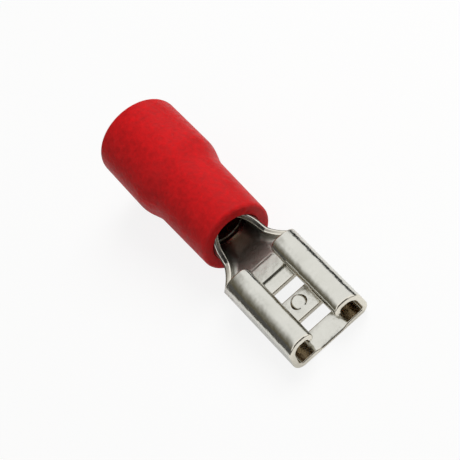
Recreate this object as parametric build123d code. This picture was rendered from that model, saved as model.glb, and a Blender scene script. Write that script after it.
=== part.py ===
from build123d import *
import os
from math import acos, atan2, cos, degrees, radians, sin

# Female spade terminal with a vinyl sleeve, for 4.8 mm tabs. Millimetres.
# X runs along the crimp barrel from the wire-entry end of the sleeve to the mouth,
# Z is up, and the origin is on the barrel axis at the wire-entry face.

# Brass strip
stock = 0.38

# Tab that the receptacle grips
tab_width = 4.75
tab_thickness = 0.8
tab_side_play = 0.045
tab_grip = 0.05

# Wire that the barrel takes
barrel_bore_radius = 1.27
barrel_rear = 5.2
seam_gap = 0.08
groove_depth = 0.08
groove_width = 0.3
groove_pitch = 1.15
groove_count = 3
groove_land = 0.05
entry_bevel = 0.12

# Neck between barrel and receptacle
neck_start = 10.0
neck_inset = 0.01
wing_start = 10.4
wing_power = 1.15
flare_start = 11.55
flare_power = 1.8
neck_corner_radius = 0.75
waist = 12.05
waist_edge_height = 0.0
flange_edge_height = -0.1
neck_rise_power = 1.8
wing_section_count = 7
flange_section_count = 5
section_point_count = 17

# Receptacle
receptacle_rear = 13.45
mouth = 20.55
floor_underside = -0.85
roll_height = 2.35
wall_lean = 6.0
corner_radius = 0.42
roll_outer_radius = 0.85
roll_inner_radius = 0.42
roll_gap = 1.74
flank_lean = 6.0
ear_rear_top = 14.15
socket_depth = 5.92
stop_length = 1.13
stop_height = 0.2
stop_half_width = 0.98
slot_half_width = 1.5
slot_length = 0.92
slot_pitch = 2.66
front_slot_from_mouth = 1.41
dimple_from_mouth = 3.25
dimple_radius = 0.56
dimple_ramp = 0.44
dimple_height = 0.3
lead_in_length = 0.65
lead_in_height = 0.2
lead_in_half_width = 1.0
lip_corner_length = 0.29
lip_corner_height = 0.6

# Sleeve
sleeve_length = 11.12
rear_radius = 2.84
shoulder_radius = 2.88
front_radius_rear = 2.47
front_radius = 2.39
taper_start = 4.41
taper_end = 6.32
rear_bore_radius = 2.12
funnel_start = 3.7
barrel_clearance = 0.03
rear_rim_round = 0.35
front_rim_round = 0.22
bore_round = 0.12
front_bore_round = 0.05

# Sizes that follow from the ones above
receptacle_half_width = tab_width / 2 + tab_side_play + stock
barrel_mid_radius = barrel_bore_radius + stock / 2
barrel_radius = barrel_bore_radius + stock
neck_stock = stock - 2 * neck_inset
neck_seam_angle = 180 - degrees((seam_gap / 2 + neck_inset) / barrel_mid_radius)
floor_mid = floor_underside + stock / 2
floor_top = floor_underside + stock
floor_half_flat = receptacle_half_width - stock / 2 - corner_radius
lip_end = floor_top + tab_thickness - tab_grip
stop_front = mouth - socket_depth
stop_rear = stop_front - stop_length
dimple_x = mouth - dimple_from_mouth
front_slot = mouth - front_slot_from_mouth
sleeve_bore_radius = barrel_radius + barrel_clearance


def walk(steps, side):
    """Line of a bent strip's half section, from its middle outwards.

    Each step is a radius and an angle in degrees, or a length and None.
    The side is -1 for the outer face and 1 for the inner face.
    """
    y, z, heading = 0.0, side * stock / 2, 0.0
    edges = []
    for size, angle in steps:
        if angle is None:
            if size > 0:
                end = (y + size * cos(radians(heading)), z + size * sin(radians(heading)))
                edges.append(Line((y, z), end))
                y, z = end
            continue
        radius = size - side * stock / 2
        centre = (y - radius * sin(radians(heading)), z + radius * cos(radians(heading)))
        ends = []
        for turn in (0.0, angle / 2, angle):
            a = radians(heading + turn)
            ends.append((centre[0] + radius * sin(a), centre[1] - radius * cos(a)))
        edges.append(ThreePointArc(*ends))
        heading += angle
        y, z = ends[2]
    return edges


def half_section(steps):
    """Face of a bent strip's half section, on the +Y side, with its floor's middle at zero."""
    outer = walk(steps, -1)
    inner = walk(steps, 1)
    lines = outer + inner
    lines.append(Line(outer[-1] @ 1, inner[-1] @ 1))
    lines.append(Line(outer[0] @ 0, inner[0] @ 0))
    return make_face(lines)


def extruded_strip(steps, height, start, end):
    """Strip with one section from start to end along X."""
    plane = Plane(origin=(start, 0, height), x_dir=(0, 1, 0), z_dir=(1, 0, 0))
    half = extrude(plane * half_section(steps), end - start)
    return half + mirror(half, Plane.XZ)


def cross_box(x_from, x_to, y_half, z_from, z_to):
    """Box across the part, centred on Y."""
    block = Box(x_to - x_from, 2 * y_half, z_to - z_from)
    return Pos((x_from + x_to) / 2, 0, (z_from + z_to) / 2) * block


def receptacle_steps():
    """Floor, corner, leaning wall, roll over the top and flank down towards the tab."""
    up = 90 + wall_lean
    corner_rise = corner_radius * (1 - cos(radians(up)))
    roll_rise = roll_outer_radius * (1 + cos(radians(up)))
    top = roll_height - stock
    wall = (top - corner_rise - roll_rise) / sin(radians(up))
    roll_y = floor_half_flat + (corner_radius - roll_outer_radius) * sin(radians(up))
    roll_y += wall * cos(radians(up))
    down = 90 + flank_lean
    flank_y = roll_gap / 2 + stock / 2
    across = roll_y - flank_y - roll_inner_radius * cos(radians(flank_lean))
    flank_top = top - roll_inner_radius * (1 + sin(radians(flank_lean)))
    flank_end = lip_end - floor_mid
    flank = (flank_top - flank_end) / cos(radians(flank_lean))
    return [
        (floor_half_flat, None), (corner_radius, up), (wall, None),
        (roll_outer_radius, 90 - wall_lean), (across, None),
        (roll_inner_radius, down), (flank, None),
    ]


def share(x, start, end):
    """Share of the way from start to end, held between 0 and 1."""
    return min(max((x - start) / (end - start), 0.0), 1.0)


def neck_floor(x):
    """Height of the strip's middle along the neck, which rises from the barrel to the floor."""
    u = share(x, neck_start, receptacle_rear)
    rise = floor_mid + barrel_mid_radius
    return rise * (1 - (1 - u) ** neck_rise_power) - barrel_mid_radius


def neck_edge(x):
    """Height of the strip's cut edge: down the wing to the waist, and up the flange."""
    if x < waist:
        drop = share(x, wing_start, waist) ** wing_power
        return barrel_mid_radius + (waist_edge_height - barrel_mid_radius) * drop
    lift = share(x, waist, receptacle_rear)
    return waist_edge_height + (flange_edge_height - neck_inset - waist_edge_height) * lift


def neck_half_width(x):
    growth = receptacle_half_width - barrel_radius
    return barrel_mid_radius + growth * share(x, flare_start, receptacle_rear) ** flare_power


def wing_steps(x):
    """Section up to the waist: rising floor, corner, and wings that stay round the axis."""
    round_radius = neck_half_width(x)
    floor = neck_floor(x)
    blend = share(x, neck_start, waist)
    corner = barrel_mid_radius + (neck_corner_radius - barrel_mid_radius) * blend
    drop = floor + corner
    flat = max((round_radius - corner) ** 2 - drop ** 2, 0.0) ** 0.5
    meeting = degrees(atan2(flat, -drop)) if flat > 0 else 0.0
    wing_end = min(degrees(acos(max(-neck_edge(x) / round_radius, -1.0))), neck_seam_angle)
    if wing_end > meeting:
        return [(flat, None), (corner, meeting), (round_radius, wing_end - meeting)]
    turn = degrees(acos(1 - (neck_edge(x) - floor) / corner))
    return [(flat, None), (corner, turn), (0.0, None)]


def flange_steps(x):
    """Section past the waist: floor and corner that grow into the receptacle's own."""
    grown = neck_half_width(x) - neck_half_width(waist)
    grown /= neck_half_width(receptacle_rear) - neck_half_width(waist)
    waist_flat, waist_corner = wing_steps(waist)[0][0], wing_steps(waist)[1][0]
    flat = waist_flat + (floor_half_flat - waist_flat) * grown
    radius = waist_corner + (corner_radius - waist_corner) * grown
    climb = neck_edge(x) - neck_floor(x)
    turn = min(degrees(acos(max(1 - climb / radius, -1.0))), 90 + wall_lean * grown)
    tail = max(climb - radius * (1 - cos(radians(turn))), 0.0) / sin(radians(turn))
    return [(flat, None), (radius, turn), (tail, None)]


def neck_point(steps, side, fraction):
    """Point at a fraction of the way along the neck's half section, on one face."""
    lengths = [size if angle is None else size * radians(angle) for size, angle in steps]
    left = fraction * sum(lengths)
    part = []
    for (size, angle), length in zip(steps, lengths):
        used = min(left, length)
        if length > 0:
            part.append((used, None) if angle is None else (size, angle * used / length))
        left -= used
    y, z, heading = 0.0, side * neck_stock / 2, 0.0
    for size, angle in part:
        if angle is None:
            y += size * cos(radians(heading))
            z += size * sin(radians(heading))
        else:
            radius = size - side * neck_stock / 2
            turned = heading + angle
            y += radius * (sin(radians(turned)) - sin(radians(heading)))
            z += radius * (cos(radians(heading)) - cos(radians(turned)))
            heading = turned
    return y, z


def neck_section(x):
    """Closed section face of the neck, with a smooth outer and inner line."""
    steps = wing_steps(x) if x < waist else flange_steps(x)
    height = neck_floor(x)
    sides = []
    for side in (-1, 1):
        last = section_point_count - 1
        half = [neck_point(steps, side, i / last) for i in range(section_point_count)]
        points = [(-y, z) for y, z in reversed(half[1:])] + half
        spots = [i / (len(points) - 1) for i in range(len(points))]
        sides.append(Edge.make_spline([(x, y, z + height) for y, z in points], parameters=spots))
    outer, inner = sides
    caps = [Line(outer @ 0, inner @ 0), Line(outer @ 1, inner @ 1)]
    return make_face([outer, inner] + caps)


def neck_loft(start, end, count):
    gap = (end - start) / (count - 1)
    return loft([neck_section(start + i * gap) for i in range(count)])


def neck():
    """Wings of the barrel down to the waist, and flanges from there up to the receptacle."""
    wings = neck_loft(neck_start, waist, wing_section_count)
    return wings + neck_loft(waist, receptacle_rear, flange_section_count)


def barrel():
    """Rolled barrel: its wall, with a bevelled entry and grip grooves, turned from seam to seam."""
    wall = [(barrel_rear, barrel_radius), (barrel_rear, barrel_bore_radius + entry_bevel),
            (barrel_rear + entry_bevel, barrel_bore_radius)]
    for i in reversed(range(groove_count)):
        far = neck_start - groove_land - i * groove_pitch
        near = far - groove_width
        wall += [(near, barrel_bore_radius), (near, barrel_bore_radius + groove_depth),
                 (far, barrel_bore_radius + groove_depth), (far, barrel_bore_radius)]
    wall += [(neck_start, barrel_bore_radius), (neck_start, barrel_radius)]
    face = make_face(Polyline(*[(x, 0, z) for x, z in wall], close=True))
    half_seam = degrees(seam_gap / 2 / barrel_mid_radius)
    return revolve(Rot(half_seam, 0, 0) * face, Axis.X, 360 - 2 * half_seam)


def receptacle():
    """Floor with rolled sides, tab stop, two cross slots, locking dimple and lead-ins."""
    body = extruded_strip(receptacle_steps(), floor_mid, receptacle_rear, mouth)
    body -= ear_trim()
    for front in (front_slot, front_slot - slot_pitch):
        body -= cross_box(front - slot_length, front, slot_half_width, floor_underside - stock,
                          floor_top + stock)
    body += tab_stop(floor_underside, floor_top)
    body -= tab_stop(floor_underside - stock, floor_underside)
    body += dimple(floor_underside, floor_top)
    body -= dimple(floor_underside - stock, floor_underside)
    return body - lead_in() - lip_corners()


def ear_trim():
    """What the slanted rear ends of the rolled ears leave away."""
    top = floor_underside + roll_height + stock
    slope = (ear_rear_top - receptacle_rear) / (floor_underside + roll_height - flange_edge_height)
    reach = receptacle_rear + (top - flange_edge_height) * slope
    outline = Polyline(
        (receptacle_rear, flange_edge_height), (reach, top), (receptacle_rear, top), close=True)
    side = extrude(Plane.XZ * make_face(outline), receptacle_half_width + stock, both=True)
    tongue = floor_top + tab_thickness / 2
    inner = cross_box(receptacle_rear, ear_rear_top, receptacle_half_width / 2 + stock, tongue, top)
    return side + inner


def tab_stop(low, high):
    """Lanced ramp, raised from a level of the strip, whose front face stops the tab."""
    outline = Polyline(
        (stop_rear, low), (stop_front, low), (stop_front, high + stop_height),
        (stop_rear, high), close=True)
    return extrude(Plane.XZ * make_face(outline), stop_half_width, both=True)


def dimple(low, high):
    """Half-round lance that snaps into the tab's hole, highest at its rear edge."""
    disc = Pos(dimple_x, 0, (low + high) / 2 + stock) * Cylinder(dimple_radius, 4 * stock)
    ramp = Polyline(
        (dimple_x - dimple_radius, low), (dimple_x - dimple_radius, high + dimple_height),
        (dimple_x + dimple_ramp, high), (dimple_x + dimple_ramp, low), close=True)
    return disc & extrude(Plane.XZ * make_face(ramp), dimple_radius, both=True)


def lead_in():
    """Bevel across the floor's front edge, between the two rolls, where the tab slides in."""
    outline = Polyline(
        (mouth, floor_top), (mouth - lead_in_length, floor_top),
        (mouth, floor_top - lead_in_height), close=True)
    return extrude(Plane.XZ * make_face(outline), lead_in_half_width, both=True)


def lip_corners():
    """What the slanted front corners of the two hanging lips leave away."""
    slope = lip_corner_length / lip_corner_height
    outline = Polyline(
        (mouth, lip_end + lip_corner_height), (mouth, lip_end - stock),
        (mouth - slope * (lip_corner_height + stock), lip_end - stock), close=True)
    return extrude(Plane.XZ * make_face(outline), receptacle_half_width / 2 + stock, both=True)


def terminal():
    return barrel() + neck() + receptacle()


def sleeve():
    """Soft vinyl sleeve: a wide wire end, a shoulder, and a narrow end over the barrel."""
    rear_arc = rear_rim_round * (1 - sin(radians(45)))
    front_arc = front_rim_round * (1 - sin(radians(45)))
    front_x = sleeve_length - front_rim_round
    slope = (front_radius_rear - front_radius) / (sleeve_length - taper_end)
    front_shoulder = front_radius + slope * front_rim_round
    lines = [
        Line((0, rear_bore_radius + bore_round), (0, rear_radius - rear_rim_round)),
        ThreePointArc((0, rear_radius - rear_rim_round), (rear_arc, rear_radius - rear_arc),
                      (rear_rim_round, rear_radius)),
        Line((rear_rim_round, rear_radius), (taper_start, shoulder_radius)),
        Spline((taper_start, shoulder_radius), (taper_end, front_radius_rear),
               tangents=[(1, 0), (1, -slope)]),
        Line((taper_end, front_radius_rear), (front_x, front_shoulder)),
        ThreePointArc((front_x, front_shoulder), (sleeve_length - front_arc, front_shoulder - front_arc),
                      (sleeve_length, front_shoulder - front_rim_round)),
        Line((sleeve_length, front_shoulder - front_rim_round),
             (sleeve_length, sleeve_bore_radius + front_bore_round)),
        Line((sleeve_length, sleeve_bore_radius + front_bore_round),
             (sleeve_length - front_bore_round, sleeve_bore_radius)),
        Line((sleeve_length - front_bore_round, sleeve_bore_radius), (barrel_rear, sleeve_bore_radius)),
        Line((barrel_rear, sleeve_bore_radius), (funnel_start, rear_bore_radius)),
        Line((funnel_start, rear_bore_radius), (bore_round, rear_bore_radius)),
        Line((bore_round, rear_bore_radius), (0, rear_bore_radius + bore_round)),
    ]
    return revolve(make_face(lines), Axis.X)


os.makedirs("parts", exist_ok=True)
export_step(terminal(), "parts/terminal.step")
export_step(sleeve(), "parts/sleeve.step")
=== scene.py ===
# %% [markdown]
# # A female spade terminal, as it lies in a product photograph
# The real object has two pieces. One is a strip of brass, tin plated, punched and rolled: a crimp barrel
# with its seam on top, a dished neck, and a socket whose two sides are rolled over. The other is a soft
# red vinyl sleeve, pushed over the barrel. Both are modelled here again, in the places of the frame, so
# that their curves reflect smoothly and their cut edges catch the light as sheared metal does.

# %% Load the frame
from math import acos, atan2, cos, degrees, pi, radians, sin

import bmesh
import bpy
from mathutils import Matrix, Vector


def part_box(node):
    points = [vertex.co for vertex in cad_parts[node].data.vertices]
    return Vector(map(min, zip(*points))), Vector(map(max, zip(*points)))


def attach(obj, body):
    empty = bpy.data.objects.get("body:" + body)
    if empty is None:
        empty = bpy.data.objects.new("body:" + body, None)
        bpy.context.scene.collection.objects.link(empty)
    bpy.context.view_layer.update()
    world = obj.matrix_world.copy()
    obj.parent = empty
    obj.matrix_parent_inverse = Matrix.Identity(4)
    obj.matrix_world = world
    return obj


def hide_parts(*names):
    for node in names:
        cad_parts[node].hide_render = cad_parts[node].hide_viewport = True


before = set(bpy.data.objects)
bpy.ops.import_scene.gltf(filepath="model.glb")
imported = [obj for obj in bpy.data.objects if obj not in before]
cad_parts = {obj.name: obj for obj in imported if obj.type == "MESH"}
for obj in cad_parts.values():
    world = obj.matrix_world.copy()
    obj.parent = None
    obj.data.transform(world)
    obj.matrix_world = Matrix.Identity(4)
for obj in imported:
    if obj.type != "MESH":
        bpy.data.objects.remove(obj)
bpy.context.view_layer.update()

MM = 0.001
scene = bpy.context.scene
scene.view_settings.view_transform = "Standard"

# %% [markdown]
# ## Camera
# The photograph is a close view from above the mouth, with a long lens, so that the socket hardly
# narrows towards the barrel. The camera stands where lines of the real object, drawn from its known
# width, fall on the same lines of the picture, and it is rolled so that the barrel points up left.

# %% Camera at the photograph's angle
camera_place = Vector((85.62, -7.77, 102.85)) * MM
camera_target = Vector((10.358, 0.0115, 0.0)) * MM
camera_roll = radians(-36.79)
lens_mm, sensor_mm = 166.3, 36.0

forward = (camera_target - camera_place).normalized()
level_right = forward.cross(Vector((0, 0, 1))).normalized()
level_up = level_right.cross(forward)
right = level_right * cos(camera_roll) + level_up * sin(camera_roll)
up = level_up * cos(camera_roll) - level_right * sin(camera_roll)
bpy.ops.object.camera_add(location=camera_place)
camera = bpy.context.object
camera.name = "photo_camera"
camera.rotation_mode = "QUATERNION"
camera.rotation_quaternion = Matrix((right, up, -forward)).transposed().to_quaternion()
camera.data.lens = lens_mm
camera.data.sensor_width = sensor_mm
camera.data.clip_start, camera.data.clip_end = 0.001, 10
scene.camera = camera
print("camera distance: %.1f mm" % ((camera_target - camera_place).length / MM))

# %% [markdown]
# ## Helpers
# An operator acts on whatever is selected, so each step first says which points it means. These helpers
# pick points, edges or faces of the edited mesh by their place in millimetres, and move them.

# %% Helpers for selecting and moving
def deselect_all():
    if bpy.context.object and bpy.context.object.mode == "EDIT":
        bpy.ops.object.mode_set(mode="OBJECT")
    bpy.ops.object.select_all(action="DESELECT")


def pick(test, kind="VERT"):
    """Select the points, edges or faces all of whose points pass the test, and say how many."""
    bpy.context.tool_settings.mesh_select_mode = (kind == "VERT", kind == "EDGE", kind == "FACE")
    mesh = bmesh.from_edit_mesh(bpy.context.object.data)
    for group in (mesh.verts, mesh.edges, mesh.faces):
        for item in group:
            item.select = False
    count = 0
    for item in {"VERT": mesh.verts, "EDGE": mesh.edges, "FACE": mesh.faces}[kind]:
        points = [item] if kind == "VERT" else item.verts
        if all(test(*(v.co / MM)) for v in points):
            item.select_set(True)
            count += 1
    mesh.select_flush_mode()
    bmesh.update_edit_mesh(bpy.context.object.data)
    return count


def move_points(rule):
    """Give every point of the edited mesh the place that the rule makes of it, in millimetres."""
    mesh = bmesh.from_edit_mesh(bpy.context.object.data)
    for v in mesh.verts:
        v.co = Vector(rule(*(v.co / MM))) * MM
    bmesh.update_edit_mesh(bpy.context.object.data)


def near(a, b):
    return abs(a - b) < 1e-4


# %% [markdown]
# ## Cutting and closing
# Bisect cuts what is selected along a plane. Its usual merging distance is a tenth of a millimetre at this
# scale, and would draw nearby points onto the cut, so it is set to almost nothing. A shape has to be
# closed, with its faces outwards, before it is worth shading, and its volume shows whether it is.

# %% Helpers for cutting and finishing
def cut(point, normal, drop_behind=False):
    """Bisect what is selected, and with drop_behind delete the side behind the plane."""
    bpy.ops.mesh.bisect(plane_co=[v * MM for v in point], plane_no=normal, clear_inner=drop_behind,
                        threshold=1e-8)


def apply_modifier(piece, kind, **settings):
    bpy.context.view_layer.objects.active = piece
    modifier = piece.modifiers.new(kind.lower(), kind)
    for name, value in settings.items():
        setattr(modifier, name, value)
    bpy.ops.object.modifier_apply(modifier=modifier.name)


def merge_and_face_out():
    bpy.ops.mesh.select_all(action="SELECT")
    bpy.ops.mesh.remove_doubles(threshold=1e-7)
    bpy.ops.mesh.normals_make_consistent(inside=False)


def enclosed_volume(piece):
    """Volume in cubic millimetres, below zero if the faces point inwards."""
    mesh = bmesh.new()
    mesh.from_mesh(piece.data)
    volume = mesh.calc_volume(signed=True) / MM ** 3
    open_edges = sum(not e.is_manifold for e in mesh.edges)
    mesh.free()
    return volume, open_edges


print("volume of the CAD sleeve in mm3: %.1f" % enclosed_volume(bpy.data.objects["sleeve"])[0])

# %% [markdown]
# ## Sizes
# The strip's section and the sleeve's outline follow from a few sizes in millimetres. Those that can be
# measured on the frame are read from it, so that the pieces stay with it.

# %% Sizes of the strip
strip_box = [[v / MM for v in corner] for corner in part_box("terminal")]
sleeve_box = [[v / MM for v in corner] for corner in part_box("sleeve")]

stock = 0.38
barrel_rear, mouth = strip_box[0][0], strip_box[1][0]
half_width = strip_box[1][1]
barrel_radius = -strip_box[0][2]
barrel_mid = barrel_radius - stock / 2
seam_gap = 0.08
groove_depth, groove_width, groove_pitch, groove_land = 0.08, 0.3, 1.15, 0.05
entry_bevel = 0.12

neck_start, wing_start, flare_start, waist, socket_rear = 10.0, 10.4, 11.55, 12.05, 13.45
wing_power, flare_power, rise_power = 1.15, 1.8, 1.8
neck_corner = 0.75
waist_edge, flange_edge = 0.0, -0.1
grooves = [neck_start - groove_land - groove_width - i * groove_pitch for i in range(3)]

floor_underside, roll_height = -0.85, 2.35
wall_lean, flank_lean = 6.0, 6.0
corner_radius, roll_outer, roll_inner = 0.42, 0.85, 0.42
roll_gap, tab_gap = 1.74, 0.75
ear_rear = 14.15
socket_depth, stop_length, stop_height, stop_half = 5.92, 1.13, 0.2, 0.98
stop_front = mouth - socket_depth
stop_rear = stop_front - stop_length
slot_length, slot_half, slots_from_mouth = 0.92, 1.5, (4.07, 1.41)
slots = [(mouth - from_mouth - slot_length, mouth - from_mouth) for from_mouth in slots_from_mouth]
dimple_from_mouth, dimple_radius, dimple_ramp, dimple_height = 3.25, 0.56, 0.44, 0.3
dimple_x = mouth - dimple_from_mouth
lead_in_length, lead_in_height = 0.65, 0.2
lead_in_full, lead_in_end = 0.85, 1.15
lip_corner_length, lip_corner_height = 0.29, 0.6
punch_side_round, die_side_round = 0.14, 0.09

floor_mid = floor_underside + stock / 2
floor_top = floor_underside + stock
floor_half = half_width - stock / 2 - corner_radius
print("barrel radius %.2f, socket half width %.2f, mouth at %.2f" % (barrel_radius, half_width, mouth))

# %% [markdown]
# ## The socket's floor
# A sheet has the same thickness all over and both its halves are alike, so the strip is modelled as the
# middle surface of one half, and gets its other half and its thickness at the end. It starts as a flat
# plate, divided into lanes along X, with cuts where the slots and the bevel at the mouth need their edges.

# %% Half of the floor
floor_lanes = 12
deselect_all()
bpy.ops.mesh.primitive_plane_add(
    size=1, location=Vector(((socket_rear + mouth) / 2, floor_half / 2, floor_mid)) * MM)
strip = bpy.context.object
strip.name = "tinned_strip"
strip.scale = ((mouth - socket_rear) * MM, floor_half * MM, 1)
bpy.ops.object.transform_apply(location=True, rotation=True, scale=True)
bpy.ops.object.mode_set(mode="EDIT")
across = [mouth - lead_in_length] + [x for slot in slots for x in slot]
lanes = [floor_half * i / floor_lanes for i in range(1, floor_lanes)] + [slot_half]
for x in across:
    bpy.ops.mesh.select_all(action="SELECT")
    cut((x, 0, 0), (1, 0, 0))
for y in lanes:
    bpy.ops.mesh.select_all(action="SELECT")
    cut((0, y, 0), (0, 1, 0))
print("floor faces:", pick(lambda x, y, z: True, "FACE"))

# %% [markdown]
# ## The rolled side
# A press folds the strip's side up and rolls it over. In the same order, the floor's outer edge is spun
# about the centre of each bend and drawn straight between two bends: the corner, the wall that leans
# in, the wide bend over the top, the tight bend back down, and the flank that ends just over the tab.
# With no window Blender spins the other way round, so the axis points along -X here.

# %% Roll the side over
up_turn, down_turn = 90 + wall_lean, 90 + flank_lean
bends_rise = corner_radius * (1 - cos(radians(up_turn))) + roll_outer * (1 + cos(radians(up_turn)))
wall_length = (roll_height - stock - bends_rise) / sin(radians(up_turn))
bends_reach = (corner_radius - roll_outer) * sin(radians(up_turn))
roll_end = floor_half + bends_reach + wall_length * cos(radians(up_turn))
top_length = roll_end - roll_gap / 2 - stock / 2 - roll_inner * cos(radians(flank_lean))
flank_top = roll_height - stock - roll_inner * (1 + sin(radians(flank_lean)))
flank_length = (flank_top - stock / 2 - tab_gap) / cos(radians(flank_lean))

pick(lambda x, y, z: near(y, floor_half))
y, z, heading = floor_half, floor_mid, 0.0
for size, angle, steps in ((corner_radius, up_turn, 12), (wall_length, None, 1),
                           (roll_outer, 90 - wall_lean, 20), (top_length, None, 1),
                           (roll_inner, down_turn, 16), (flank_length, None, 2)):
    a = radians(heading)
    if angle is None:
        step_y, step_z = size / steps * cos(a), size / steps * sin(a)
        for _ in range(steps):
            bpy.ops.mesh.extrude_region_move(TRANSFORM_OT_translate={"value": (0, step_y * MM, step_z * MM)})
            y, z = y + step_y, z + step_z
    else:
        centre_y, centre_z = y - size * sin(a), z + size * cos(a)
        bpy.ops.mesh.spin(steps=steps, angle=radians(angle), axis=(-1, 0, 0),
                          center=(0, centre_y * MM, centre_z * MM))
        heading += angle
        a = radians(heading)
        y, z = centre_y + size * sin(a), centre_z - size * cos(a)
end = [v.co / MM for v in bmesh.from_edit_mesh(strip.data).verts if v.select]
print("the flank should end at y %.3f z %.3f and ends at y %.3f z %.3f" % (y, z, end[0].y, end[0].z))

# %% [markdown]
# ## Rear ends and slots
# The blank's ears are cut at a slant, so the rolled side starts further forward on top than it does at
# the floor, and its inner lip is cut square. At the mouth the lips' corners are cut back, so that the tab
# finds its way in. The two slots across the floor are punched right through.

# %% Trim the ears and punch the slots
ear_top = floor_underside + roll_height
slant = Vector((ear_top - flange_edge, 0, socket_rear - ear_rear)).normalized()
lip_rear = ear_rear - stock / 2 * (ear_rear - socket_rear) / (ear_top - flange_edge)
pick(lambda x, y, z: y > floor_half - 0.01 or z > floor_top, "FACE")
cut((socket_rear, 0, flange_edge), slant, drop_behind=True)
move_points(lambda x, y, z: (max(x, lip_rear) if z > floor_top and y < roll_end + 0.01 else x, y, z))
lip_end = floor_top + tab_gap
pick(lambda x, y, z: z > floor_top and y < roll_end - 0.5, "FACE")
cut((mouth, 0, lip_end + lip_corner_height), (-lip_corner_height, 0, lip_corner_length), drop_behind=True)
slack = 1e-4
for rear, front in slots:
    pick(lambda x, y, z: near(z, floor_mid) and rear - slack < x < front + slack
         and y < slot_half + slack, "FACE")
    bpy.ops.mesh.delete(type="FACE")
merge_and_face_out()
print("faces after trimming:", pick(lambda x, y, z: True, "FACE"))

# %% [markdown]
# ## The neck's section
# The neck is where the die works the strip hardest, because a round barrel has to become a flat floor.
# Its section at any place is a flat middle, a corner, and then a wing that stays round the barrel's
# axis, up to the waist, or past the waist the small flange that grows into the socket's wall.

# %% Sections of the neck
def share(x, start, end):
    return min(max((x - start) / (end - start), 0.0), 1.0)


def neck_floor(x):
    u = share(x, neck_start, socket_rear)
    return (floor_mid + barrel_mid) * (1 - (1 - u) ** rise_power) - barrel_mid


def neck_edge(x):
    if x < waist:
        return barrel_mid + (waist_edge - barrel_mid) * share(x, wing_start, waist) ** wing_power
    return waist_edge + (flange_edge - waist_edge) * share(x, waist, socket_rear)


def neck_width(x):
    return barrel_mid + (half_width - barrel_radius) * share(x, flare_start, socket_rear) ** flare_power


def wing_section(x):
    """Lengths, and radius with angle, from the middle of the floor to the wing's cut edge."""
    wing, corner = neck_width(x), barrel_mid + (neck_corner - barrel_mid) * share(x, neck_start, waist)
    drop = neck_floor(x) + corner
    flat = max((wing - corner) ** 2 - drop ** 2, 0.0) ** 0.5
    meeting = degrees(atan2(flat, -drop)) if flat > 0 else 0.0
    seam = 180 - degrees(seam_gap / 2 / barrel_mid)
    wing_end = min(degrees(acos(max(-neck_edge(x) / wing, -1.0))), seam)
    if wing_end > meeting:
        return [(flat, None), (corner, meeting), (wing, wing_end - meeting)]
    return [(flat, None), (corner, degrees(acos(1 - (neck_edge(x) - neck_floor(x)) / corner)))]


def flange_section(x):
    grown = (neck_width(x) - neck_width(waist)) / (neck_width(socket_rear) - neck_width(waist))
    (waist_flat, _), (waist_corner, _) = wing_section(waist)[:2]
    flat = waist_flat + (floor_half - waist_flat) * grown
    corner = waist_corner + (corner_radius - waist_corner) * grown
    climb = neck_edge(x) - neck_floor(x)
    turn = min(degrees(acos(max(1 - climb / corner, -1.0))), 90 + wall_lean * grown)
    wall = max(climb - corner * (1 - cos(radians(turn))), 0.0) / sin(radians(turn))
    return [(flat, None), (corner, turn), (wall, None)]


print("waist: half width %.2f, floor at %.2f" % (neck_width(waist), neck_floor(waist)))

# %% [markdown]
# ## Walking a section
# A section is walked from the middle of the floor, straight or round a bend, until a given share of its
# length is used up. The same shares at every place make lines that run smoothly along the neck.

# %% Points along a section
def section_points(x, fractions):
    """Points of the section at x, each at its fraction of the way from the floor to the cut edge."""
    section = wing_section(x) if x < waist else flange_section(x)
    lengths = [size if angle is None else size * radians(angle) for size, angle in section]
    points = []
    for fraction in fractions:
        left, y, z, heading = fraction * sum(lengths), 0.0, neck_floor(x), 0.0
        for (size, angle), length in zip(section, lengths):
            used = min(left, length)
            left -= used
            if angle is None:
                y, z = y + used * cos(heading), z + used * sin(heading)
            else:
                turned = heading + used / size
                y += size * (sin(turned) - sin(heading))
                z += size * (cos(heading) - cos(turned))
                heading = turned
        points.append(Vector((x, y, z)) * MM)
    return points


print("wing's cut edge at the waist:", [round(c / MM, 2) for c in section_points(waist - slack, [1.0])[0]])

# %% [markdown]
# ## Draw the neck and the barrel
# The floor's rear edge is extruded towards the barrel loop by loop, and each new loop is laid on the
# section at its place. The loops are close together in the neck, whose double curve shows in every
# reflection, and further apart in the straight barrel, with a pair at each side of a grip groove.

# %% Extrude loop by loop
neck_loop_gap, groove_wall = 0.11, 0.02


def selected_chain(mesh):
    """The selected edge line's points in order, from the one nearest the middle of the floor."""
    loose = {v for v in mesh.verts if v.select}
    chain = [min((v for v in loose if v.co.z < 0), key=lambda v: abs(v.co.y))]
    while len(chain) < len(loose):
        chain.append(next(w for e in chain[-1].link_edges if e.select
                          for w in [e.other_vert(chain[-1])] if w in loose and w not in chain[-2:]))
    return chain


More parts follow.
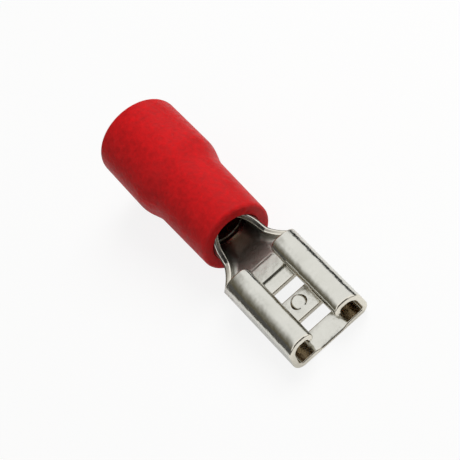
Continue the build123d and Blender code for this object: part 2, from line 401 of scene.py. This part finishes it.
pick(lambda x, y, z: near(x, socket_rear), "EDGE")
mesh = bmesh.from_edit_mesh(strip.data)
chain = selected_chain(mesh)
reach = [0.0]
for a, b in zip(chain, chain[1:]):
    reach.append(reach[-1] + (b.co - a.co).length)
fractions = [r / reach[-1] for r in reach]
neck_loops = round((socket_rear - neck_start) / neck_loop_gap)
loops = [socket_rear + (neck_start - socket_rear) * (i + 1) / neck_loops for i in range(neck_loops)]
for rear in grooves:
    loops += [rear + groove_width + groove_wall, rear + groove_width, rear, rear - groove_wall]
loops += [barrel_rear + entry_bevel, barrel_rear]
place = socket_rear
for x in loops:
    bpy.ops.mesh.extrude_region_move(TRANSFORM_OT_translate={"value": ((x - place) * MM, 0, 0)})
    mesh = bmesh.from_edit_mesh(strip.data)
    for v, point in zip(selected_chain(mesh), section_points(x, fractions)):
        v.co = point
    bmesh.update_edit_mesh(strip.data)
    place = x
print("loops:", len(loops), "points in each:", len(fractions))

# %% [markdown]
# ## Second half and thickness
# Mirror makes the other half and joins the two along the floor's middle. Solidify then gives the sheet
# its 0.38 mm, half to each side, with the corners of the bends kept even. The thin faces that it adds
# all round are the sheared edges of the real strip, and get a slot of their own.

# %% Mirror and thicken
merge_and_face_out()
pick(lambda x, y, z: near(y, 0))
move_points(lambda x, y, z: (x, 0.0 if near(y, 0) else y, z))
bpy.ops.object.mode_set(mode="OBJECT")
apply_modifier(strip, "MIRROR", use_axis=(False, True, False), use_mirror_merge=True, merge_threshold=1e-6,
               use_clip=True)
bpy.ops.object.mode_set(mode="EDIT")
merge_and_face_out()
bpy.ops.object.mode_set(mode="OBJECT")
for slot_name in ("tin_plate", "sheared_edge", "roll_inside_shade", "drawn_edge"):
    strip.data.materials.append(bpy.data.materials.new(slot_name))
apply_modifier(strip, "SOLIDIFY", thickness=stock * MM, offset=0, use_even_offset=True,
               use_quality_normals=True, material_offset_rim=1, material_offset=2)
volume, open_edges = enclosed_volume(strip)
print("strip volume %.1f mm3, open edges %d, faces %d" % (volume, open_edges, len(strip.data.polygons)))

# %% [markdown]
# ## Rounded sheared edges
# Punching draws the strip's edges round on the side where the punch goes in, and leaves them sharper on
# the other. The punch came from the side that is the outside after rolling, so that edge gets the wider
# round. Both rounds draw a bright line along the edge, and have a slot of their own, as has the side that
# ends up inside the rolls. The bevel across the mouth lets the tab in.

# %% Round the edges and bevel the mouth
in_roll_slot, rim_slot = 2, 3
deselect_all()
bpy.context.view_layer.objects.active = strip
strip.select_set(True)
bpy.ops.object.mode_set(mode="EDIT")


def lower_mouth(x, y, z):
    if near(x, mouth) and near(z, floor_top):
        z -= lead_in_height * (1 - share(abs(y), lead_in_full, lead_in_end))
    return x, y, z


move_points(lower_mouth)
mesh = bmesh.from_edit_mesh(strip.data)
outside = next(f.material_index for f in mesh.faces if near(f.calc_center_median().z / MM, floor_underside))
for side, size in ((outside, punch_side_round), (2 - outside, die_side_round)):
    bpy.context.tool_settings.mesh_select_mode = (False, True, False)
    bpy.ops.mesh.select_all(action="DESELECT")
    mesh = bmesh.from_edit_mesh(strip.data)
    for edge in mesh.edges:
        edge.select_set({f.material_index for f in edge.link_faces} == {side, 1})
    bmesh.update_edit_mesh(strip.data)
    bpy.ops.mesh.bevel(offset=size * MM, segments=4, affect="EDGES", clamp_overlap=False, material=rim_slot)
mesh = bmesh.from_edit_mesh(strip.data)
# faces of the inner side within the rolls get the slot whose colour is painted shade
for face in mesh.faces:
    centre = face.calc_center_median() / MM
    rolled = face.material_index == 2 - outside and centre.x > socket_rear and centre.z > floor_top + 0.05
    if face.material_index in (0, 2):
        face.material_index = in_roll_slot if rolled else 0
bmesh.update_edit_mesh(strip.data)
print("strip faces with rounded edges:", len(bmesh.from_edit_mesh(strip.data).faces))

# %% [markdown]
# ## Inside of the barrel
# Fine grooves across the bore bite into the wire, and its rear end is bevelled so that no strand catches
# on it. Only points of the inner face move, outwards from the barrel's axis.

# %% Grip grooves and bevelled entry
inner_face, groove_reach, entry_reach = barrel_mid - 0.1, 0.01, 0.06


def cut_bore(x, y, z):
    radius = (y * y + z * z) ** 0.5
    if x < neck_start and radius < inner_face:
        in_groove = any(rear - groove_reach < x < rear + groove_width + groove_reach for rear in grooves)
        wider = groove_depth if in_groove else entry_bevel if x < barrel_rear + entry_reach else 0.0
        y, z = y * (1 + wider / radius), z * (1 + wider / radius)
    return x, min(max(y, -half_width), half_width), z


move_points(cut_bore)
bpy.ops.object.mode_set(mode="OBJECT")
print("bore radius %.2f" % (barrel_radius - stock))

# %% [markdown]
# ## Tab stop and locking dimple
# Both are lanced, cut on one side and pressed up with the rest left attached, so each rises to a step at
# its end and leaves the same shape as a hollow underneath. The dimple's top is one slope. The stop's
# climbs out of the neck and then runs almost level, so its block is cut twice and the ridge is rounded. A
# block with that top is joined to the floor, and a copy one sheet's thickness lower is cut out of it.

# %% Lanced ramps
ramp_root = 0.3
stop_run_up, ridge_setback = 1.2, 0.05
stop_root, stop_ridge = stop_rear - stop_run_up, stop_rear - ridge_setback
stop_root_depth, stop_ridge_height = 0.1, 0.16
dimple_rim, stop_rim, ridge_round, ridge_reach = 0.24, 0.04, 0.12, 0.06


def add_lance(block, tops, rim_round):
    """Cut the block's top along each ramp (start, height there, end, height there), and join it."""
    for name in ("tin_plate", "sheared_edge"):
        block.data.materials.append(bpy.data.materials[name])
    bpy.ops.object.transform_apply(location=True, rotation=True, scale=True)
    bpy.ops.object.mode_set(mode="EDIT")
    for start, low, end, high in tops:
        bpy.ops.mesh.select_all(action="SELECT")
        bpy.ops.mesh.bisect(plane_co=Vector((start, 0, floor_top + low)) * MM,
                            plane_no=Vector(((low - high) / (end - start), 0, 1)), clear_outer=True,
                            use_fill=True)
    bpy.ops.mesh.bevel(offset=rim_round * MM, segments=4, affect="EDGES")
    if len(tops) > 1:
        pick(lambda x, y, z: abs(x - tops[1][0]) < ridge_reach, "EDGE")
        bpy.ops.mesh.bevel(offset=ridge_round * MM, segments=6, affect="EDGES")
    merge_and_face_out()
    bpy.ops.object.mode_set(mode="OBJECT")
    hollow = block.copy()
    hollow.data = block.data.copy()
    scene.collection.objects.link(hollow)
    hollow.data.transform(Matrix.Translation((0, 0, -stock * MM)))
    strip.select_set(True)
    apply_modifier(strip, "BOOLEAN", operation="UNION", object=block, solver="EXACT")
    apply_modifier(strip, "BOOLEAN", operation="DIFFERENCE", object=hollow, solver="EXACT")
    for used in (block, hollow):
        bpy.data.objects.remove(used)


deselect_all()
block_low, block_high = floor_top - ramp_root, floor_top + 1
bpy.ops.mesh.primitive_cylinder_add(
    vertices=64, radius=dimple_radius * MM, depth=(block_high - block_low) * MM,
    location=Vector((dimple_x, 0, (block_low + block_high) / 2)) * MM)
add_lance(bpy.context.object,
          [(dimple_x + dimple_ramp, 0, dimple_x - dimple_radius, dimple_height)], dimple_rim)
deselect_all()
bpy.ops.mesh.primitive_cube_add(
    size=1, location=Vector(((stop_root + stop_front) / 2, 0, (block_low + block_high) / 2)) * MM,
    scale=Vector((stop_front - stop_root, 2 * stop_half, block_high - block_low)) * MM)
add_lance(bpy.context.object,
          [(stop_root, -stop_root_depth, stop_ridge, stop_ridge_height),
           (stop_ridge, stop_ridge_height, stop_front, stop_height)], stop_rim)
volume, open_edges = enclosed_volume(strip)
print("strip volume %.1f mm3, open edges %d, faces %d" % (volume, open_edges, len(strip.data.polygons)))

# %% [markdown]
# ## Smooth shading
# The bends are smooth and the sheared edges crisp. Weighted normals keep the flat floor flat right up to
# its rounded edges, which matters on bright metal, where a slightly wrong normal shows as a dent.

# %% Shade the strip
deselect_all()
bpy.context.view_layer.objects.active = strip
strip.select_set(True)
bpy.ops.object.shade_smooth_by_angle(angle=radians(40))
apply_modifier(strip, "WEIGHTED_NORMAL", keep_sharp=True, weight=50)
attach(strip, "root")
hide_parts("terminal")
print("strip box:", [[round(c / MM, 3) for c in corner] for corner in
                     ([min(v.co[i] for v in strip.data.vertices) for i in range(3)],
                      [max(v.co[i] for v in strip.data.vertices) for i in range(3)])])

# %% [markdown]
# ## The vinyl sleeve
# A soft moulded tube: wide at the wire's end, a soft shoulder, and a narrower end that grips the
# barrel. Its wall is one closed ring shape, so it is drawn as a ring that is extruded along the outline
# of the wall, outside, round the front rim and back through the bore, until it meets its start.

# %% Ring by ring along the wall
sleeve_length = sleeve_box[1][0]
box_margin, barrel_play = 0.001, 0.03
rear_radius, shoulder_radius = 2.84, min(sleeve_box[1][1:]) - box_margin
front_radius_rear, front_radius = 2.47, 2.39
taper_start, taper_end = 4.41, 6.32
rear_bore, funnel_start = 2.12, 3.7
barrel_bore = barrel_radius + barrel_play
rear_rim, front_rim, bore_round, front_bore_round = 0.35, 0.22, 0.12, 0.05
ring_points = 128
wide_rings, narrow_rings, shoulder_steps = (1.4, 2.4, 3.4), (7.4, 8.5, 9.6, 10.5), 14
bore_rings, wire_bore_ring = (9.0, 7.0), 1.8


def quarter(centre_x, centre_r, radius, start, steps=6):
    """Points of a quarter circle in the wall's outline, turning forwards from the start angle."""
    turns = [radians(start + 90 * i / steps) for i in range(steps + 1)]
    return [(centre_x + radius * sin(t), centre_r + radius * cos(t)) for t in turns]


lean = (front_radius_rear - front_radius) / (sleeve_length - taper_end)
outline = quarter(rear_rim, rear_radius - rear_rim, rear_rim, -90)
outline += [(x, rear_radius + (shoulder_radius - rear_radius) * x / taper_start) for x in wide_rings]
for i in range(shoulder_steps + 1):
    t, span = i / shoulder_steps, taper_end - taper_start
    outline.append((taper_start + span * t, shoulder_radius * (2 * t ** 3 - 3 * t ** 2 + 1)
                    + front_radius_rear * (3 * t ** 2 - 2 * t ** 3) - lean * span * (t ** 3 - t ** 2)))
outline += [(x, front_radius_rear - lean * (x - taper_end)) for x in narrow_rings]
outline += quarter(sleeve_length - front_rim, front_radius + lean * front_rim - front_rim, front_rim, 0)
outline += quarter(sleeve_length - front_bore_round, barrel_bore + front_bore_round, front_bore_round, 90, 3)
outline += [(x, barrel_bore) for x in bore_rings] + [(barrel_rear, barrel_bore), (funnel_start, rear_bore)]
outline += [(wire_bore_ring, rear_bore)] + quarter(bore_round, rear_bore + bore_round, bore_round, 180, 3)

deselect_all()
bpy.ops.mesh.primitive_circle_add(vertices=ring_points, radius=outline[0][1] * MM, fill_type="NOTHING",
                                  rotation=(0, pi / 2, 0), location=(outline[0][0] * MM, 0, 0))
sleeve = bpy.context.object
sleeve.name = "vinyl_sleeve"
bpy.ops.object.transform_apply(location=True, rotation=True, scale=True)
bpy.ops.object.mode_set(mode="EDIT")
bpy.ops.mesh.select_all(action="SELECT")
for (x0, r0), (x1, r1) in zip(outline, outline[1:] + outline[:1]):
    bpy.ops.mesh.extrude_region_move(TRANSFORM_OT_translate={"value": ((x1 - x0) * MM, 0, 0)})
    bpy.ops.transform.resize(value=(1, r1 / r0, r1 / r0), center_override=(x1 * MM, 0, 0))
merge_and_face_out()
bpy.ops.object.mode_set(mode="OBJECT")
volume, open_edges = enclosed_volume(sleeve)
bpy.ops.object.shade_smooth_by_angle(angle=radians(50))
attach(sleeve, "root")
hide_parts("sleeve")
print("sleeve volume %.1f mm3, open edges %d" % (volume, open_edges))

# %% [markdown]
# ## Colours and nodes
# Hex colours are sRGB, as a picture shows them, and shaders reckon in linear light, so one function
# turns them. Another adds a node with its settings and links. Patterns read Object coordinates, which
# are metres here, so a pattern of a given size in millimetres has a scale of one thousand over it.

# %% Colour and node helpers
def linear(hex_colour):
    channels = [int(hex_colour[i:i + 2], 16) / 255 for i in (1, 3, 5)]
    return [c / 12.92 if c <= 0.04045 else ((c + 0.055) / 1.055) ** 2.4 for c in channels] + [1.0]


def per_mm(size):
    return 1000 / size


def add_node(tree, kind, inputs=(), **settings):
    """Add a node. An input given as a socket is linked, and any other value is set."""
    made = tree.nodes.new(kind)
    for name, value in settings.items():
        setattr(made, name, value)
    for name, value in dict(inputs).items():
        if isinstance(value, bpy.types.NodeSocket):
            tree.links.new(value, made.inputs[name])
        else:
            made.inputs[name].default_value = value
    return made


def new_shader(material):
    material.use_nodes = True
    tree = material.node_tree
    tree.nodes.clear()
    return tree, add_node(tree, "ShaderNodeTexCoord").outputs["Object"]


print("a hex grey of 80 in linear light: %.3f" % linear("#808080")[0])

# %% [markdown]
# ## Tin plate
# The strip is brass with a few micrometres of bright tin, rolled before it was punched. Tin is a slightly
# warm, light grey metal. Rolling leaves lines along the strip, which are too fine to show and so are drawn
# 0.09 mm apart. Bending and stamping leave the surface softly uneven, which breaks up the reflections and
# makes the gloss satin in places. The neck is rougher. Its colour, and more so the bore's behind the front
# groove, is painted darker: painted shade, for the dark that the dished neck and the deep bore hold.

# %% Shader for tinned brass
# painted shade along X: at 0 the colour is the painted shade colour, at 1 the plain tin; the bore behind 9.1
# mm and the neck are shaded
unshaded_share = ((9.1, 0.0), (9.6, 1.0), (neck_start, 1.0), (wing_start, 0.35), (12.2, 0.35), (13.4, 1.0))
ramp_start, ramp_length = 9.0, 5.0
satin_start, satin_end = 13.7, 14.5
rolling_size, rolling_stretch, soft_size, grain_size = 0.09, 0.12, 0.9, 0.16
smoother, rougher = 0.05, 0.07


def tin_shader(name, light, dark, painted_shade, roughness, neck_roughness, unevenness, streaks):
    tree, place = new_shader(bpy.data.materials[name])
    stretched = add_node(tree, "ShaderNodeMapping", {"Vector": place, "Scale": (rolling_stretch, 1, 1)})
    rolling = add_node(tree, "ShaderNodeTexNoise", {
        "Vector": stretched.outputs[0], "Scale": per_mm(rolling_size), "Detail": 3.0, "Roughness": 0.6})
    soft = add_node(tree, "ShaderNodeTexNoise", {
        "Vector": place, "Scale": per_mm(soft_size), "Detail": 2.0})
    grain = add_node(tree, "ShaderNodeTexNoise", {
        "Vector": place, "Scale": per_mm(grain_size), "Detail": 2.0})
    colour = add_node(tree, "ShaderNodeMix", {
        "Factor": soft.outputs["Fac"], "A": linear(light), "B": linear(dark)}, data_type="RGBA")
    rough = add_node(tree, "ShaderNodeMapRange", {
        "Value": grain.outputs["Fac"], "From Min": 0.3, "From Max": 0.7,
        "To Min": roughness - smoother, "To Max": roughness + rougher})
    sides = add_node(tree, "ShaderNodeSeparateXYZ", {"Vector": place})
    along = add_node(tree, "ShaderNodeMapRange", {
        "Value": sides.outputs["X"], "From Min": ramp_start * MM,
        "From Max": (ramp_start + ramp_length) * MM})
    unshaded_ramp = add_node(tree, "ShaderNodeValToRGB", {"Fac": along.outputs[0]})
    for i, (x, tone) in enumerate(unshaded_share):
        step = unshaded_ramp.color_ramp.elements[i] if i < 2 else unshaded_ramp.color_ramp.elements.new(1.0)
        step.position, step.color = (x - ramp_start) / ramp_length, (tone, tone, tone, 1.0)
    # the colour mixed toward the painted shade colour in the neck and the bore
    shaded_colour = add_node(tree, "ShaderNodeMix", {
        "Factor": unshaded_ramp.outputs["Color"], "A": linear(painted_shade), "B": colour.outputs["Result"]},
        data_type="RGBA")
    behind = add_node(tree, "ShaderNodeMapRange", {
        "Value": sides.outputs["X"], "From Min": neck_start * MM, "From Max": wing_start * MM})
    ahead = add_node(tree, "ShaderNodeMapRange", {
        "Value": sides.outputs["X"], "From Min": satin_start * MM, "From Max": satin_end * MM,
        "To Min": neck_roughness, "To Max": 0.0})
    rough = add_node(tree, "ShaderNodeMath", {
        0: behind.outputs[0], 1: ahead.outputs[0], 2: rough.outputs[0]}, operation="MULTIPLY_ADD")
    lines = add_node(tree, "ShaderNodeBump", {
        "Height": rolling.outputs["Fac"], "Strength": 1.0, "Distance": streaks * MM})
    waves = add_node(tree, "ShaderNodeBump", {
        "Height": soft.outputs["Fac"], "Normal": lines.outputs[0], "Strength": 1.0,
        "Distance": unevenness * MM})
    metal = add_node(tree, "ShaderNodeBsdfPrincipled", {
        "Base Color": shaded_colour.outputs["Result"], "Metallic": 1.0, "Roughness": rough.outputs[0],
        "Normal": waves.outputs[0]})
    add_node(tree, "ShaderNodeOutputMaterial", {"Surface": metal.outputs[0]})


print("cleanness of the tin along X:", unshaded_share)

# %% [markdown]
# ## Four materials of one strip
# The insides of the rolls are painted darker and warmer all through: painted shade, for the dark that
# the rolled recess holds. A cut face is bright in the socket, and in the neck and the bore it is painted
# dark, as painted shade. The rims that the punch drew round are bright all along.

# %% Tin plate, shaded roll inside, sheared face and drawn rim
# painted shade darkens the tin in the neck and in the bore
tin_shader("tin_plate", "#e1e0d9", "#d2d1c8", painted_shade="#8c877e", roughness=0.17, neck_roughness=0.2,
           unevenness=0.045, streaks=0.0012)
# the rolls' insides are painted darker and warmer: painted shade
tin_shader("roll_inside_shade", "#d6c0a0", "#ad9474", painted_shade="#d6c0a0", roughness=0.24, neck_roughness=0.0,
           unevenness=0.045, streaks=0.0012)
# the cut faces are painted dark in the neck and the bore: painted shade
tin_shader("sheared_edge", "#efebe0", "#e0dacb", painted_shade="#453f37", roughness=0.2, neck_roughness=0.0,
           unevenness=0.002, streaks=0.0003)
tin_shader("drawn_edge", "#efebe0", "#e0dacb", painted_shade="#efebe0", roughness=0.17, neck_roughness=0.0,
           unevenness=0.002, streaks=0.0003)
print("strip finishes:", [m.name for m in strip.data.materials])

# %% [markdown]
# ## Red vinyl
# The sleeve is soft PVC, coloured all through and moulded, with the satin skin that such a part has. It
# is a dielectric with an IOR near 1.53. The red is a little uneven, and the skin is finely pitted. The
# pits are drawn 0.3 mm wide, coarser than real ones, so that they show.

# %% Red vinyl
blotch_size, pit_size, pit_share = 1.1, 0.3, 0.65
pit_depth, sag_depth = 0.035, 0.03
vinyl = bpy.data.materials.new("red_vinyl")
sleeve.data.materials.append(vinyl)
tree, place = new_shader(vinyl)
blotches = add_node(tree, "ShaderNodeTexNoise", {
    "Vector": place, "Scale": per_mm(blotch_size), "Detail": 4.0, "Roughness": 0.65})
pits = add_node(tree, "ShaderNodeTexNoise", {"Vector": place, "Scale": per_mm(pit_size), "Detail": 4.0})
mottled = add_node(tree, "ShaderNodeMix", {
    0: pit_share, 2: blotches.outputs["Fac"], 3: pits.outputs["Fac"]}, data_type="FLOAT")
red = add_node(tree, "ShaderNodeMix", {
    "Factor": mottled.outputs[0], "A": linear("#860306"), "B": linear("#ea1117")}, data_type="RGBA")
rough = add_node(tree, "ShaderNodeMapRange", {
    "Value": pits.outputs["Fac"], "From Min": 0.3, "From Max": 0.7, "To Min": 0.42, "To Max": 0.55})
skin = add_node(tree, "ShaderNodeBump", {
    "Height": pits.outputs["Fac"], "Strength": 1.0, "Distance": pit_depth * MM})
sag = add_node(tree, "ShaderNodeBump", {
    "Height": blotches.outputs["Fac"], "Normal": skin.outputs[0], "Strength": 1.0,
    "Distance": sag_depth * MM})
plastic = add_node(tree, "ShaderNodeBsdfPrincipled", {
    "Base Color": red.outputs["Result"], "Roughness": rough.outputs[0], "IOR": 1.53,
    "Specular IOR Level": 0.22, "Normal": sag.outputs[0]})
add_node(tree, "ShaderNodeOutputMaterial", {"Surface": plastic.outputs[0]})
print("materials:", [m.name for m in bpy.data.materials])

# %% [markdown]
# ## Floor
# The real terminal rests on the front rim of its sleeve and on the underside of its mouth, so its floor
# is a plane that touches both, and it leans against the part's own axes. The floor's white is partly its
# own light, for the camera and for reflections, as on a cut-out picture, and the rest keeps the shadow.

# %% Floor under the sleeve's rim and the mouth
floor_size, floor_gap = 800, 0.01
seen_glow, mirrored_glow = 0.85, 0.3
rim_x, rim_z = sleeve_length - front_rim, -(front_radius + lean * front_rim - front_rim)
reach_x, reach_z = mouth - rim_x, floor_underside - rim_z
floor_tilt = atan2(reach_z, reach_x) + front_rim / (reach_x ** 2 + reach_z ** 2) ** 0.5
deselect_all()
bpy.ops.mesh.primitive_plane_add(size=floor_size * MM, rotation=(0, -floor_tilt, 0),
                                 location=Vector((mouth, 0, floor_underside - floor_gap)) * MM)
floor = bpy.context.object
floor.name = "floor"
paper = bpy.data.materials.new("white_paper_sweep")
floor.data.materials.append(paper)
tree, _ = new_shader(paper)
rays = add_node(tree, "ShaderNodeLightPath")
seen = add_node(tree, "ShaderNodeMath", {
    0: rays.outputs["Is Camera Ray"], 1: rays.outputs["Is Transmission Ray"]}, operation="MAXIMUM")
direct = add_node(tree, "ShaderNodeMath", {0: seen.outputs[0], 1: seen_glow}, operation="MULTIPLY")
mirrored = add_node(tree, "ShaderNodeMath", {
    0: rays.outputs["Is Glossy Ray"], 1: mirrored_glow}, operation="MULTIPLY")
share_of_glow = add_node(tree, "ShaderNodeMath", {
    0: direct.outputs[0], 1: mirrored.outputs[0]}, operation="MAXIMUM")
matt = add_node(tree, "ShaderNodeBsdfDiffuse", {"Color": linear("#f2f2f0")})
glow = add_node(tree, "ShaderNodeEmission", {"Color": linear("#ffffff"), "Strength": 1.0})
mixed = add_node(tree, "ShaderNodeMixShader", {
    0: share_of_glow.outputs[0], 1: matt.outputs[0], 2: glow.outputs[0]})
geometry = add_node(tree, "ShaderNodeNewGeometry")
clear = add_node(tree, "ShaderNodeBsdfTransparent")
one_sided = add_node(tree, "ShaderNodeMixShader", {
    0: geometry.outputs["Backfacing"], 1: mixed.outputs[0], 2: clear.outputs[0]})
add_node(tree, "ShaderNodeOutputMaterial", {"Surface": one_sided.outputs[0]})
print("floor leans %.2f degrees" % degrees(floor_tilt))

# %% [markdown]
# ## Studio light
# One large soft lamp stands high on the far side, to the right of the barrel, and a weaker one fills from
# the left. Their levels, with the world's, light a white surface to just about white, so that a colour
# shows as it is written. The world is white for the camera and in reflections, and dim for all else.

# %% World and lamps
room_level, white_level = 0.3, 1.0
world = bpy.data.worlds.new("white_studio")
scene.world = world
world.use_nodes = True
tree = world.node_tree
tree.nodes.clear()
rays = add_node(tree, "ShaderNodeLightPath")
seen = add_node(tree, "ShaderNodeMath", {
    0: rays.outputs["Is Camera Ray"], 1: rays.outputs["Is Glossy Ray"]}, operation="MAXIMUM")
seen = add_node(tree, "ShaderNodeMath", {
    0: seen.outputs[0], 1: rays.outputs["Is Transmission Ray"]}, operation="MAXIMUM")
room = add_node(tree, "ShaderNodeBackground", {"Color": linear("#ffffff"), "Strength": room_level})
white = add_node(tree, "ShaderNodeBackground", {"Color": linear("#ffffff"), "Strength": white_level})
both = add_node(tree, "ShaderNodeMixShader", {0: seen.outputs[0], 1: room.outputs[0], 2: white.outputs[0]})
add_node(tree, "ShaderNodeOutputWorld", {"Surface": both.outputs[0]})


def toward(azimuth, elevation):
    """Unit vector at an azimuth from +X towards +Y and an elevation, in degrees."""
    a, e = radians(azimuth), radians(elevation)
    return Vector((cos(a) * cos(e), sin(a) * cos(e), sin(e)))


def add_softbox(name, azimuth, elevation, distance, size, level):
    """Square lamp aimed at the part. A level of 1 alone lights a white surface that faces it to white."""
    spot = camera_target + toward(azimuth, elevation) * distance * MM
    bpy.ops.object.light_add(type="AREA", location=spot)
    lamp = bpy.context.object
    lamp.name = name
    lamp.rotation_mode = "QUATERNION"
    lamp.rotation_quaternion = (camera_target - spot).to_track_quat("-Z", "Y")
    lamp.data.size = size * MM
    lamp.data.energy = level * pi ** 2 * (distance * MM) ** 2
    lamp.visible_glossy = False


add_softbox("key_softbox", 113, 51, 160, 110, 0.82)
add_softbox("fill_softbox", -45, 52, 200, 140, 0.12)

# %% [markdown]
# ## Cards for the reflections
# Bright metal shows only what stands round it, and all white it would look like plaster. A product
# photographer stands grey and black cards round it. Here too: a graded one on the left with a low dark
# strip under it, a low dark strip on the right, a graded one behind the sleeve, a dim warm one before the
# mouth, and a dark one on the camera's side. Only reflections see them, so they cast no shadow.

# %% Cards that only reflections see
def add_card(name, centre, facing, width, height, tones, soft_from, soft_to, tint="#ffffff"):
    """Upright card. Its tone changes from the first to the second over a share of its height."""
    deselect_all()
    bpy.ops.mesh.primitive_plane_add(size=1, location=Vector(centre) * MM)
    card = bpy.context.object
    card.name = name
    card.scale = (width * MM, height * MM, 1)
    card.rotation_mode = "QUATERNION"
    card.rotation_quaternion = Vector(facing).to_track_quat("Z", "Y")
    card.visible_camera = card.visible_diffuse = card.visible_shadow = card.visible_transmission = False
    material = bpy.data.materials.new(name + "_paper")
    card.data.materials.append(material)
    tree, place = new_shader(material)
    sides = add_node(tree, "ShaderNodeSeparateXYZ", {"Vector": place})
    grade = add_node(tree, "ShaderNodeMapRange", {
        "Value": sides.outputs["Y"], "From Min": soft_from - 0.5, "From Max": soft_to - 0.5,
        "To Min": 0.0, "To Max": 1.0}, interpolation_type="SMOOTHSTEP")
    shade = add_node(tree, "ShaderNodeMix", {
        "Factor": grade.outputs[0], "A": [tones[0] * c for c in linear(tint)],
        "B": [tones[1] * c for c in linear("#ffffff")]}, data_type="RGBA")
    tone = add_node(tree, "ShaderNodeEmission", {"Color": shade.outputs["Result"], "Strength": 1.0})
    add_node(tree, "ShaderNodeOutputMaterial", {"Surface": tone.outputs[0]})


left_way = toward(218, 0)
add_card("left_card", Vector((16, 0, 35)) + left_way * 40, -left_way, 130, 90, (0.13, 0.95), 0.27, 0.98,
         "#f4e8c4")
add_card("left_strip", (-5, -9.5, -1.5), (0, 1, 0), 90, 10, (0.09, 0.09), 0.0, 1.0, "#f4e8c4")
add_card("right_strip", (0, 10.5, -0.85), (0, -1, 0), 90, 4.7, (0.03, 0.03), 0.0, 1.0)
add_card("rear_card", (-50, 0, 12), (1, 0, 0), 60, 44, (0.03, 0.6), 0.7, 1.0)
add_card("mouth_card", (60, 0, 10), (-1, 0, 0), 160, 40, (0.2, 0.2), 0.0, 1.0, "#d09048")
add_card("camera_side_card", (90, -8, 70), (-0.8, 0, -0.6), 170, 130, (0.06, 0.06), 0.0, 1.0)

# %% [markdown]
# ## Finish
# The pieces stay inside the CAD model's box. The view layer is updated at the end.

# %% Finish
bpy.context.view_layer.update()
